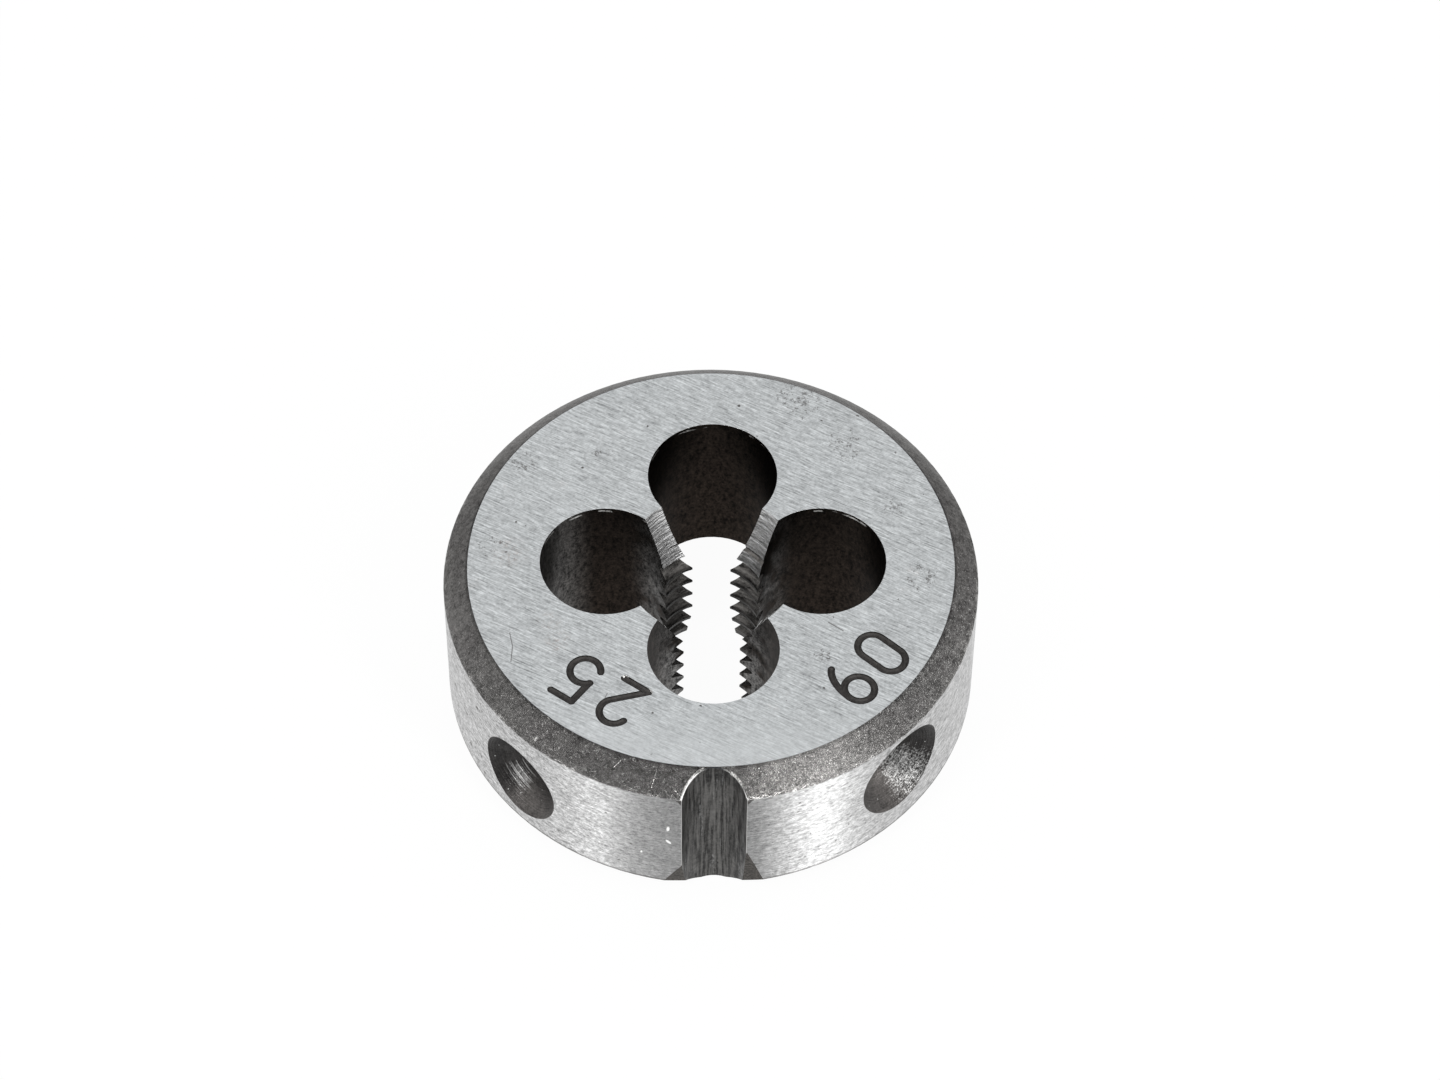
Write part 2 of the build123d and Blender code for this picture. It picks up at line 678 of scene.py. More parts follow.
def with_alpha(colour: Any) -> Any:
    """A colour as a shader's socket takes it, or the socket of one as it is."""
    return (*colour, 1.0) if isinstance(colour, tuple) else colour


class PaintShop:
    """Makes the nodes of one material, or of the sky, and joins them to its shader."""

    def __init__(self, owner: bpy.types.Material | bpy.types.World) -> None:
        """Empties the node tree of a material or of the sky.

        Args:
            owner: The material or the sky.
        """
        owner.use_nodes = True
        self.owner = owner
        self.tree = owner.node_tree
        self.tree.nodes.clear()

    def make(self, kind: str, settings: dict[str, Any], sockets: dict[str | int, Any]) -> bpy.types.Node:
        """Makes one node, its settings first and then the values or links of its sockets.

        Args:
            kind: The node's type.
            settings: Values of the node's own properties.
            sockets: A value, a field or an output for each input, by name or number.

        Returns:
            The node.
        """
        node = self.tree.nodes.new(kind)
        for name, value in settings.items():
            setattr(node, name, value)
        for key, value in sockets.items():
            source = value.socket if isinstance(value, Field) else value
            if isinstance(source, bpy.types.NodeSocket):
                self.tree.links.new(source, node.inputs[key])
            else:
                node.inputs[key].default_value = source
        return node

    def maths(self, operation: str, *values: "Field | float") -> Field:
        """A Math node on one or two numbers."""
        node = self.make("ShaderNodeMath", {"operation": operation}, dict(enumerate(values)))
        return Field(self, node.outputs[0])

    def vector(self, x: "Field | float", y: "Field | float", z: "Field | float") -> Field:
        """A vector from three numbers."""
        return Field(self, self.make("ShaderNodeCombineXYZ", {}, {0: x, 1: y, 2: z}).outputs[0])

    def matt(self, colour: Colour) -> bpy.types.NodeSocket:
        """A plain matt shader's output."""
        return self.make("ShaderNodeBsdfDiffuse", {}, {"Color": with_alpha(colour)}).outputs[0]

    def finish(self, shader: bpy.types.NodeSocket) -> bpy.types.Material:
        """Joins a shader to the material's output."""
        self.make("ShaderNodeOutputMaterial", {}, {"Surface": shader})
        return self.owner


class SteelShop(PaintShop):
    """Makes one steel finish, and knows the surface's place on the die, in millimetres."""

    def __init__(self, surface: Surface) -> None:
        """Starts the material of a surface and reads the place.

        Args:
            surface: The surface, which names the material.
        """
        super().__init__(bpy.data.materials.new(surface.value))
        metres = self.make("ShaderNodeTexCoord", {}, {}).outputs["Object"]
        scaled = self.make("ShaderNodeVectorMath", {"operation": "SCALE"}, {0: metres, "Scale": 1 / MM})
        split = self.make("ShaderNodeSeparateXYZ", {}, {0: scaled.outputs[0]})
        self.x, self.y, self.z = (Field(self, output) for output in split.outputs)
        self.place = self.vector(self.x, self.y, self.z)

    def turn(self) -> Field:
        """Angle round the die's axis, in radians."""
        return self.maths("ARCTAN2", self.y, self.x)

    def apart(self, point: Point) -> Field:
        """Distance from a point, as seen from above."""
        return (self.x - point[0]).diagonal(self.y - point[1])

    def texture(self, place: Field, scale: float, layers: float = 2.0, harshness: float = 0.5) -> Field:
        """Soft noise from 0 to 1, in waves for each millimetre, with so many and so harsh finer layers."""
        sockets = {"Vector": place, "Scale": scale, "Detail": layers, "Roughness": harshness}
        return Field(self, self.make("ShaderNodeTexNoise", {"noise_dimensions": "3D"}, sockets).outputs[0])

    def noise(self, scale: float, layers: float = 2.0, harshness: float = 0.5) -> Field:
        """Noise that is as fine along as across."""
        return self.texture(self.place, scale, layers, harshness)

    def drawn(
        self, fineness: Triple, layers: float = 2.0, harshness: float = 0.5, lift: float = 0.0
    ) -> Field:
        """Noise that is finer along one axis than along another, and lifted so that it differs."""
        place = self.vector(self.x * fineness[0], self.y * fineness[1], self.z * fineness[2] + lift)
        return self.texture(place, 1.0, layers, harshness)

    def grains(self, scale: float) -> tuple[Field, Field]:
        """Scattered grains.

        Args:
            scale: How many there are along a millimetre.

        Returns:
            The distance to the nearest grain, and its own random number.
        """
        node = self.make("ShaderNodeTexVoronoi", {"feature": "F1"}, {"Vector": self.place, "Scale": scale})
        chance = self.make("ShaderNodeSeparateXYZ", {}, {0: node.outputs["Color"]}).outputs[0]
        return Field(self, node.outputs["Distance"]), Field(self, chance)

    def blend(self, amount: Field, first: Any, second: Any) -> bpy.types.NodeSocket:
        """Mixes two colours, each a colour or the socket of one, by the share of the second."""
        sockets = {0: amount, 6: with_alpha(first), 7: with_alpha(second)}
        return self.make("ShaderNodeMix", {"data_type": "RGBA"}, sockets).outputs[2]

    def shade(self, colour: Any, factor: Field) -> bpy.types.NodeSocket:
        """Multiplies a colour by a number that varies over the surface."""
        sockets = {0: colour, "Scale": factor}
        return self.make("ShaderNodeVectorMath", {"operation": "SCALE"}, sockets).outputs[0]

    def bump(self, height: Field, depth: float) -> bpy.types.NodeSocket:
        """Normal that follows a height, where 1 stands for so many millimetres."""
        sockets = {"Height": height, "Distance": depth * MM}
        return self.make("ShaderNodeBump", {}, sockets).outputs["Normal"]

    def steel(
        self,
        colour: bpy.types.NodeSocket,
        roughness: Field | float,
        metallic: Field | float = 1.0,
        normal: bpy.types.NodeSocket | None = None,
        drawn_out: float = 0.0,
        drawn_turn: float = 0.0,
        edge_gleam: float = 1.0,
    ) -> None:
        """Joins the finish to a metal's shader.

        Args:
            colour: The base colour's socket.
            roughness: From mirror 0 to matt 1.
            metallic: The share that is bare metal.
            normal: The bumped normal's socket, if any.
            drawn_out: How far the highlight is drawn out across the machining lines.
            drawn_turn: The direction it is drawn out in, in turns.
            edge_gleam: How much of the usual gleam is left where the surface is seen edge on.
        """
        sockets = {
            "Base Color": colour,
            "Roughness": roughness,
            "Metallic": metallic,
            "Anisotropic": drawn_out,
            "Anisotropic Rotation": drawn_turn,
            "Specular Tint": (edge_gleam, edge_gleam, edge_gleam, 1.0),
        }
        if normal is not None:
            sockets["Normal"] = normal
        self.finish(self.make("ShaderNodeBsdfPrincipled", {}, sockets).outputs["BSDF"])


class Mark(ABC):
    """A mark on a surface."""

    @abstractmethod
    def mask(self, shop: SteelShop) -> Field:
        """1 in the mark and 0 outside it."""


def marked(shop: SteelShop, marks: Iterable[Mark]) -> Field:
    """1 in any of several marks and 0 outside them."""
    return strongest(mark.mask(shop) for mark in marks)


@dataclass(frozen=True)
class Patch(Mark):
    """A round patch of the marked face."""

    middle: Point
    radius: float

    def mask(self, shop: SteelShop) -> Field:
        """1 in the patch's middle and 0 outside it."""
        return shop.apart(self.middle).ramp(self.radius, self.radius * 0.3)


@dataclass(frozen=True)
class Scratch(Mark):
    """A fine line scratched into a surface, as seen from above."""

    start: Point
    end: Point
    width: float

    def mask(self, shop: SteelShop) -> Field:
        """Where the scratch is.

        Args:
            shop: Where the nodes are made.

        Returns:
            1 on the scratch and 0 off it.
        """
        across, up = self.end[0] - self.start[0], self.end[1] - self.start[1]
        square = across * across + up * up
        from_x, from_y = shop.x - self.start[0], shop.y - self.start[1]
        along = (from_x * (across / square) + from_y * (up / square)).most(0.0).least(1.0)
        off_line = (from_x - along * across).diagonal(from_y - along * up)
        return off_line.ramp(self.width, self.width * 0.4)


@dataclass(frozen=True)
class Nick(Mark):
    """A small dent in the rim, painted as a bright glint: its place, how far it leans and its half sizes."""

    angle: float
    height: float
    lean: float
    half_width: float = 0.075
    half_length: float = 0.20

    def mask(self, shop: SteelShop) -> Field:
        """Where the dent is.

        Args:
            shop: Where the nodes are made.

        Returns:
            1 in the dent and 0 outside it.
        """
        lean = radians(self.lean)
        side = (shop.turn() - radians(self.angle)) * SIZES.outer_radius
        up = shop.z - self.height
        wide = (side * cos(lean) - up * sin(lean)) / self.half_width
        long = (side * sin(lean) + up * cos(lean)) / self.half_length
        return wide.diagonal(long).ramp(1.1, 0.8)


@dataclass(frozen=True)
class Border:
    """Ragged border between the ground rim and its rough chamfers, worn round by the groove, with painted
    highlights on its burred edge.
    """

    raggedness: float = 0.17
    blur: Span = (-0.04, 0.03)
    corner_reach: float = 0.5
    corner_drop: float = 0.38
    burr_glint_reach: Span = (0.15, 0.03)
    foot_rise: float = 0.12
    foot_share: float = 0.6
    foot_blur: float = 0.02
    heavy_span: Span = (1.3, 5.0)
    heavy_fade: float = 0.6
    heavy_front: Span = (6.0, 8.0)
    lip_reach: Span = (0.11, 0.055)
    lip_foot: Span = (7.75, 7.9)
    lip_whole: Span = (-0.7, -1.0)
    lip_sides: Span = (0.3, 0.7)

    def rough_share(self, shop: SteelShop) -> Field:
        """How far a spot belongs to the chamfers.

        Args:
            shop: Where the nodes are made.

        Returns:
            1 on a chamfer and 0 on the rim.
        """
        shift = shop.noise(2.6, 4.0, 0.7).swing(self.raggedness)
        mouth = (shop.apart(SIZES.groove_axis) - SIZES.groove_radius).ramp(self.corner_reach, 0.0)
        edge, foot = SIZES.chamfer_edge, SIZES.bottom_chamfer
        below, above = self.blur
        upper = (shop.z - edge + shift + mouth * mouth * self.corner_drop).ramp(below, above)
        lower = (shop.z + shift * 0.5 - foot - self.foot_rise).ramp(above, below) * self.foot_share
        return strongest([upper, lower, (shop.z - foot).ramp(self.foot_blur, -self.foot_blur)])

    def burr_glints(self, shop: SteelShop) -> Field:
        """Painted highlights on burred bits that run along the upper border, heavier in one span.

        Args:
            shop: Where the nodes are made.

        Returns:
            1 on a burr and 0 off it.
        """
        near = (shop.z - SIZES.chamfer_edge).size().ramp(*self.burr_glint_reach)
        dashes = shop.drawn((3.2, 3.2, 11.0), 3.0, 0.65).ramp(0.47, 0.58)
        light = shop.noise(0.9, 1.0).ramp(0.42, 0.62) * 0.5
        start, end = self.heavy_span
        heavy = shop.x.ramp(start, start + self.heavy_fade) * shop.x.ramp(end, end - self.heavy_fade)
        return near * dashes * light.most(heavy * (-shop.y).ramp(*self.heavy_front)) * 0.75

    def lip_glint(self, shop: SteelShop) -> Field:
        """Painted highlight where the groove breaks into the chamfer: whole at the left and flaked at the
        right.

        Args:
            shop: Where the nodes are made.

        Returns:
            1 on the lip and 0 off it.
        """
        beside = shop.apart(SIZES.groove_axis) - SIZES.groove_radius
        under = SIZES.face_radius + SIZES.thickness - shop.apart(MIDDLE) - shop.z
        near = beside.size().ramp(*self.lip_reach) * under.size().ramp(*self.lip_reach)
        near = near * shop.z.ramp(*self.lip_foot)
        flaked = shop.noise(3.2, 3.0, 0.7).ramp(0.44, 0.58)
        off_axis = shop.x - SIZES.groove_axis[0]
        whole = off_axis.ramp(*self.lip_whole) * (0.55 + flaked * 0.35)
        return near * whole.most(off_axis.size().ramp(*self.lip_sides) * flaked * 0.8)


class Finish(ABC):
    """The finish of one surface."""

    surface: Surface

    @abstractmethod
    def paint(self, shop: SteelShop) -> None:
        """Joins the finish's colour, roughness and bumps to the steel's shader."""

    def material(self) -> bpy.types.Material:
        """Builds the finish's material.

        Returns:
            The material.
        """
        shop = SteelShop(self.surface)
        self.paint(shop)
        return shop.owner


@dataclass(frozen=True)
class GroundFaceFinish(Finish):
    """Flat faces from the surface grinder: fine straight lines, freckles, pits, stains and scratches."""

    surface: Surface = Surface.GROUND_FACE
    roughness: float = 0.36
    colour: Colour = (0.484, 0.502, 0.510)
    stain_colour: Colour = (0.36, 0.31, 0.29)
    pit_colour: Colour = (0.06, 0.05, 0.045)
    grain_angle: float = -28.0
    calm_front: Span = (-7.0, -10.5)
    upper_face: Span = (4.0, 5.0)
    freckled: tuple[Patch, ...] = (
        Patch((4.2, 9.9), 2.0),
        Patch((6.2, 7.0), 1.7),
        Patch((-8.9, 5.9), 1.3),
        Patch((-10.4, 1.0), 1.1),
        Patch((-5.2, 6.4), 0.9),
        Patch((5.2, -5.2), 0.8),
        Patch((9.8, -0.7), 1.5),
        Patch((8.6, 3.4), 1.0),
    )
    stained: tuple[Patch, ...] = (
        Patch((-7.5, -3.4), 0.8),
        Patch((-7.0, -4.5), 0.9),
        Patch((-9.5, 0.6), 1.2),
    )
    scratches: tuple[Scratch, ...] = (
        Scratch((-9.25, -4.0), (-9.1, -4.75), 0.035),
        Scratch((-9.1, -4.75), (-9.15, -5.6), 0.035),
        Scratch((5.45, -3.3), (6.1, -3.75), 0.05),
        Scratch((-4.7, -7.35), (-5.2, -8.6), 0.03),
    )

    def paint(self, shop: SteelShop) -> None:
        """Paints the finish.

        Args:
            shop: Where the nodes are made.
        """
        turn = radians(self.grain_angle)
        along = shop.x * cos(turn) + shop.y * sin(turn)
        across = shop.y * cos(turn) - shop.x * sin(turn)
        streaks = shop.texture(shop.vector(along, across * 6.5, shop.z), 1.0, 3.0, 0.7)
        fine = shop.texture(shop.vector(along * 1.5, across * 16.0, shop.z), 1.0, 2.0, 0.6)
        hairs = shop.texture(shop.vector(along * 0.5, across * 14.0, shop.z + 7.0), 1.0, 1.0)
        grain = shop.noise(8.5, 2.0, 0.6)
        cloud = shop.noise(0.6, 4.0, 0.65)
        freckles = shop.noise(5.5, 3.0, 0.75)
        calm = 1 - shop.y.ramp(*self.calm_front) * 0.45
        lines = streaks.swing(1.5) + fine.swing(2.0) + grain.swing(1.2)
        lines = lines - hairs.ramp(0.60, 0.72) * 0.4 + hairs.ramp(0.38, 0.28) * 0.4
        tone = 1 + lines * calm * 0.68 + cloud.swing(0.32) + (1 - calm) * 0.20

        upper = shop.z.ramp(*self.upper_face)
        thick = marked(shop, self.freckled) * upper * 0.17
        near, chance = shop.grains(2.3)
        pits = (near + freckles.swing(0.55)).ramp(0.17, 0.07) * chance.ramp(0.93, 0.95)
        marks = pits.most((freckles + thick).ramp(0.70, 0.79) * 0.7) * 0.85
        marks = marks.most(marked(shop, self.scratches) * upper * 0.6)
        stain = marked(shop, self.stained) * upper * freckles.ramp(0.48, 0.66) * 0.5
        stain = stain.most(cloud.ramp(0.62, 0.74) * streaks.ramp(0.45, 0.62) * 0.3)

        colour = shop.shade(shop.blend(stain, self.colour, self.stain_colour), tone)
        colour = shop.blend(marks, colour, self.pit_colour)
        normal = shop.bump(lines - marks * 1.5, 0.005)
        shop.steel(colour, self.roughness + marks * 0.3, normal=normal, edge_gleam=0.45)


@dataclass(frozen=True)
class RimFinish(Finish):
    """Rim ground bright, with fine crinkled lines round it, dark specks and pits, a few dents painted as
    bright glints, and painted shade beside the groove.
    """

    surface: Surface = Surface.RIM
    roughness: float = 0.46
    colour: Colour = (0.56, 0.56, 0.56)
    dark_colour: Colour = (0.13, 0.125, 0.12)
    glint_colour: Colour = (0.92, 0.92, 0.91)
    groove_painted_shade: float = 0.24
    painted_shade_shift: float = -1.1
    painted_shade_reach: Span = (4.8, 2.4)
    front: Span = (8.0, 11.0)
    sides: Span = (9.5, 7.0)
    pitted_left: Span = (9.0, 11.0)
    calmer_right: Span = (-2.0, 2.0)
    nick_glints: tuple[Nick, ...] = (
        Nick(-98.7, 5.39, 6.0),
        Nick(-98.65, 4.32, -38.0),
        Nick(-104.5, 3.1, 10.0, 0.05, 0.1),
    )
    border: Border = Border()

    def paint(self, shop: SteelShop) -> None:
        """Paints the finish.

        Args:
            shop: Where the nodes are made.
        """
        streak = shop.drawn((3.0, 3.0, 11.0), 4.0, 0.75)
        coarse = shop.drawn((2.4, 2.4, 6.0), 3.0, 0.75)
        crinkle = shop.drawn((6.5, 6.5, 10.0), 3.0, 0.85)
        speckle = shop.drawn((4.5, 4.5, 3.4), 3.0, 0.8)
        drift = shop.noise(0.7, 3.0, 0.6)
        grain = shop.noise(7.5, 3.0, 0.75)
        # Painted shade: the rim is darker, and its lines calmer, beside the groove.
        off_painted_shade = (shop.turn() - radians(SIZES.groove_angle)) * SIZES.outer_radius - self.painted_shade_shift
        calm_and_shaded = off_painted_shade.size().ramp(*self.painted_shade_reach)
        front = 0.6 + (-shop.y).ramp(*self.front) * 0.4
        tone = 1 + (streak.swing(1.8) + grain.swing(0.8)) * front + drift.swing(0.35)
        tone = tone + coarse.swing(1 - calm_and_shaded * 0.8) * 1.9 - calm_and_shaded * self.groove_painted_shade
        tone = tone + crinkle.swing(1 - calm_and_shaded * 0.75) * (2.2 - shop.x.ramp(*self.calmer_right) * 0.9)

        near, chance = shop.grains(1.7)
        pitted = (-shop.x).ramp(*self.pitted_left) * 0.22
        pits = (near + speckle.swing(0.5) - pitted * 0.45).ramp(0.15, 0.06)
        pits = pits * (chance + pitted).ramp(0.80, 0.84)
        specks = pits.most((speckle + (-shop.y).ramp(*self.sides) * 0.03).ramp(0.66, 0.74)) * 0.75
        dark = specks.most(self.border.rough_share(shop))
        # Painted highlight: the small dents take the glint colour and turn nearly matt white.
        nick_glints = marked(shop, self.nick_glints)

        colour = shop.blend(dark, shop.shade(self.colour, tone), self.dark_colour)
        colour = shop.blend(nick_glints.most(self.border.burr_glints(shop)), colour, self.glint_colour)
        normal = shop.bump(streak * 0.5 + grain * 0.3 - dark, 0.012)
        shop.steel(colour, self.roughness, 1 - nick_glints * 0.8, normal, drawn_out=0.97, drawn_turn=0.25)


@dataclass(frozen=True)
class ChamferFinish(Finish):
    """Chamfers left as hardened: dark, blotchy and flecked, with painted shade at the front, a painted lamp
    sheen at the front right and painted glitter from the front to the right.
    """

    surface: Surface = Surface.CHAMFER
    roughness: float = 0.27
    colour: Colour = (0.130, 0.1265, 0.1235)
    ground_colour: Colour = (0.50, 0.50, 0.50)
    glint_colour: Colour = (0.82, 0.81, 0.79)
    front_shade: float = 0.32
    front: Span = (3.0, 9.5)
    behind: Span = (3.0, 9.0)
    flecked_front: Span = (4.0, 8.0)
    glitter_angle: float = -38.0
    glitter_spread: float = 70.0
    sheen_angle: float = -67.0
    sheen_spread: float = 22.0
    scratches: tuple[Scratch, ...] = (
        Scratch((-7.95, -9.3), (-7.88, -9.26), 0.09),
        Scratch((-7.67, -9.25), (-7.38, -9.15), 0.025),
        Scratch((-2.41, -11.41), (-2.63, -11.92), 0.025),
        Scratch((-4.04, -10.87), (-4.36, -11.06), 0.025),
        Scratch((-1.62, -12.05), (-1.32, -12.28), 0.03),
    )
    border: Border = Border()

    def paint(self, shop: SteelShop) -> None:
        """Paints the finish.

        Args:
            shop: Where the nodes are made.
        """
        turn, z = shop.turn(), shop.z
        grit = shop.noise(9.5, 4.0, 0.75)
        blotch = shop.noise(3.0, 3.0, 0.65)
        drift = shop.noise(0.8, 2.0, 0.6)
        frost = shop.noise(13.0, 2.0, 0.6)
        off_glitter = (turn - radians(self.glitter_angle)).size()
        glitter = off_glitter.ramp(radians(self.glitter_spread), radians(self.glitter_spread * 0.2))
        off_sheen = (turn - radians(self.sheen_angle)).size()
        sheen = off_sheen.ramp(radians(self.sheen_spread), 0.05)
        behind = shop.y.ramp(*self.behind)
        # Painted shade at the front and a painted lamp sheen at the front right; lighter behind.
        shade = 1 - (-shop.y).ramp(*self.front) * self.front_shade + sheen * 0.85 + behind * 0.5
        down_slope = 1.1 - z.ramp(8.0, 8.6) * 0.14 - z.ramp(8.84, 8.95) * 0.4
        tone = 1 + grit.swing(2.9 + glitter * 0.7) + blotch.swing(1.7) + drift.swing(0.7)
        tone = tone.most(0.35) * shade * down_slope

        # Painted highlights: sparks where the grit would catch the lamp, most from the front to the right.
        near, chance = shop.grains(9.0)
        sparks = (near - grit.swing(1.4)).ramp(0.40, 0.16) * (chance + glitter * 0.35).ramp(0.84, 1.06) * 0.6
        sparks = sparks.most((frost + blotch.swing(0.4)).ramp(0.56, 0.80) * glitter)
        sparks = sparks * (0.26 + glitter * 0.16 + sheen * 0.36)
        flecks = shop.noise(5.0, 4.0, 0.8).ramp(0.56, 0.66) * (-shop.y).ramp(*self.flecked_front)
        flecks = flecks * (1 - glitter * 0.7) * 0.2
        scratched = marked(shop, self.scratches) * z.ramp(7.0, 7.4)
        scratched = scratched * grit.ramp(0.38, 0.60) * 0.55
        # Painted highlight where the groove breaks into the chamfer, nearly matt white.
        lip_glint = self.border.lip_glint(shop)
        bright = strongest([sparks, flecks, scratched, lip_glint, self.border.burr_glints(shop)])
        ground = (1 - self.border.rough_share(shop)).most(behind * z.ramp(8.6, 7.9) * 0.3)

        colour = shop.blend(ground, shop.shade(self.colour, tone), self.ground_colour)
        colour = shop.blend(bright, colour, self.glint_colour)
        normal = shop.bump(grit + sparks, 0.035)
        shop.steel(colour, self.roughness + lip_glint * 0.3, 1 - lip_glint * 0.8, normal, edge_gleam=0.45)


@dataclass(frozen=True)
class GrooveFinish(Finish):
    """Milled channel: dark, with fine streaks down it, and painted highlights along its two sides."""

    surface: Surface = Surface.GROOVE
    roughness: float = 0.44
    colour: Colour = (0.088, 0.086, 0.083)
    streak_colour: Colour = (0.34, 0.34, 0.34)
    side_sheen_colour: Colour = (0.21, 0.21, 0.21)
    lip_glint_colour: Colour = (0.82, 0.81, 0.79)
    right_side: Span = (1.12, 1.40)
    right_foot: Span = (8.3, 6.5)
    left_side: Span = (-1.40, -1.53)
    border: Border = Border()

    def paint(self, shop: SteelShop) -> None:
        """Paints the finish.

        Args:
            shop: Where the nodes are made.
        """
        streak = shop.drawn((8.0, 2.0, 0.42), 3.0, 0.65)
        hairs = shop.drawn((11.0, 3.0, 0.4), 1.0, lift=5.0)
        grit = shop.drawn((7.0, 7.0, 4.5), 4.0, 0.7)
        blotch = shop.noise(1.1, 2.0)
        tone = 0.28 + streak.ramp(0.34, 0.66) * 1.25 + grit.swing(1.9) + blotch.swing(0.7)
        bright = hairs.ramp(0.62, 0.72) * grit.ramp(0.40, 0.60) * 0.5
        # Painted highlight where the groove breaks into the chamfer, nearly matt white.
        lip_glint = self.border.lip_glint(shop)
        # Painted highlight on the walls beside the mouth, at the right only in the upper part.
        off_axis = shop.x - SIZES.groove_axis[0]
        right = off_axis.ramp(*self.right_side) * shop.z.ramp(*self.right_foot)
        side = right.most(off_axis.ramp(*self.left_side)) * 0.8
        colour = shop.shade(shop.blend(side, self.colour, self.side_sheen_colour), tone.most(0.2))
        colour = shop.blend(bright, colour, self.streak_colour)
        colour = shop.blend(lip_glint, colour, self.lip_glint_colour)
        shop.steel(colour, self.roughness, 1 - lip_glint * 0.8, shop.bump(streak * 2.0 + grit, 0.02))


@dataclass(frozen=True)
class RoughFinish(Finish):
    """Plain dark steel with a fine grain, as on the corner flats and in the engraved strokes."""

    surface: Surface
    colour: Colour
    roughness: float = 0.55
    grain: float = 8.0
    contrast: float = 0.9

    def paint(self, shop: SteelShop) -> None:
        """Paints the finish.

        Args:
            shop: Where the nodes are made.
        """
        grain = shop.noise(self.grain, 3.0, 0.6)
        tone = 1 + grain.swing(2 * self.contrast)
        shop.steel(shop.shade(self.colour, tone), self.roughness, normal=shop.bump(grain, 0.02))


@dataclass(frozen=True)
class ChipHoleFinish(Finish):
    """Drilled and hardened: near black with a brown cast, greyer near the teeth where chips wear it, painted
    light on the left wall, and a painted glint under the mouths at the back.
    """

    surface: Surface = Surface.CHIP_HOLE
    roughness: float = 0.38
    colour: Colour = (0.0185, 0.0140, 0.0112)
    rubbed_and_lit_colour: Colour = (0.175, 0.173, 0.170)
    burr_glint_colour: Colour = (0.75, 0.75, 0.73)
    rubbed_reach: Span = (5.0, 2.6)
    lit_left_wall: Span = (-5.4, -7.8)
    paler_front: Span = (2.0, 3.5)
    burr_height: float = 8.80
    burr_glint_reach: Span = (0.075, 0.035)
    glinting_back: Span = (-1.5, 0.0)

    def paint(self, shop: SteelShop) -> None:
        """Paints the finish.

        Args:
            shop: Where the nodes are made.
        """
        rings = shop.drawn((0.5, 0.5, 6.0), 3.0)
        scored = shop.drawn((4.0, 4.0, 2.0), 3.0, 0.8)
        grain = shop.noise(7.5, 4.0, 0.8)
        blotch = shop.noise(0.7, 2.0)
        rubbed_and_lit = shop.apart(MIDDLE).ramp(*self.rubbed_reach) * blotch.ramp(0.34, 0.55) * 0.9
        # Painted light: the left hole's outer wall is paler, as if the lamp lit it.
        rubbed_and_lit = rubbed_and_lit.most(shop.x.ramp(*self.lit_left_wall) * 0.6)
        tone = 0.95 + rings.swing(0.5) + grain.swing(4.5) + scored.swing(4.0)
        tone = tone.most(0.15) * (1 + (-shop.y).ramp(*self.paler_front) * 0.8)
        colour = shop.shade(shop.blend(rubbed_and_lit, self.colour, self.rubbed_and_lit_colour), tone)
        # Painted highlight: a thin glinting sliver just under the mouth, at the back of the holes.
        off_burr = (shop.z + blotch.swing(0.25) - self.burr_height).size()
        burr_glint = off_burr.ramp(*self.burr_glint_reach) * shop.y.ramp(*self.glinting_back)
        burr_glint = burr_glint * shop.noise(0.9, 2.0).ramp(0.54, 0.60) * grain.ramp(0.36, 0.5)
        colour = shop.blend(burr_glint, colour, self.burr_glint_colour)
        normal = shop.bump(grain * 0.5 + rings * 0.3, 0.012)
        shop.steel(colour, self.roughness, normal=normal, edge_gleam=0.6)


@dataclass(frozen=True)
class TurnedFinish(Finish):
    """Lead tapers and teeth: grey steel with cutting lines round the bore."""

    surface: Surface
    colour: Colour
    line_pitch: float
    contrast: float
    roughness: float = 0.38
    crest_shade: float = 0.0
    crest_reach: Span = (0.12, 0.04)

    def paint(self, shop: SteelShop) -> None:
        """Paints the finish.

        Args:
            shop: Where the nodes are made.
        """
        lines = shop.drawn((0.8, 0.8, 2.2 / self.line_pitch), 3.0, 0.7)
        grit = shop.noise(9.0, 3.0, 0.8)
        cloud = shop.noise(1.3, 2.0)
        crest = (shop.apart(MIDDLE) - SIZES.core_radius).ramp(*self.crest_reach)
        tone = 1 + lines.swing(2 * self.contrast) + cloud.swing(0.4) + grit.swing(self.contrast)
        colour = shop.shade(self.colour, tone.most(0.2) * (1 - crest * self.crest_shade))
        shop.steel(colour, self.roughness, normal=shop.bump(lines, self.line_pitch * 0.12))


@dataclass(frozen=True)
class SeatGlint:
    """Where a lamp shows on a seat: its turn about the seat's axis, its reach from it, and its texture."""

    turn: float
    spread: float
    start: float
    end: float
    share: float
    ringed: float


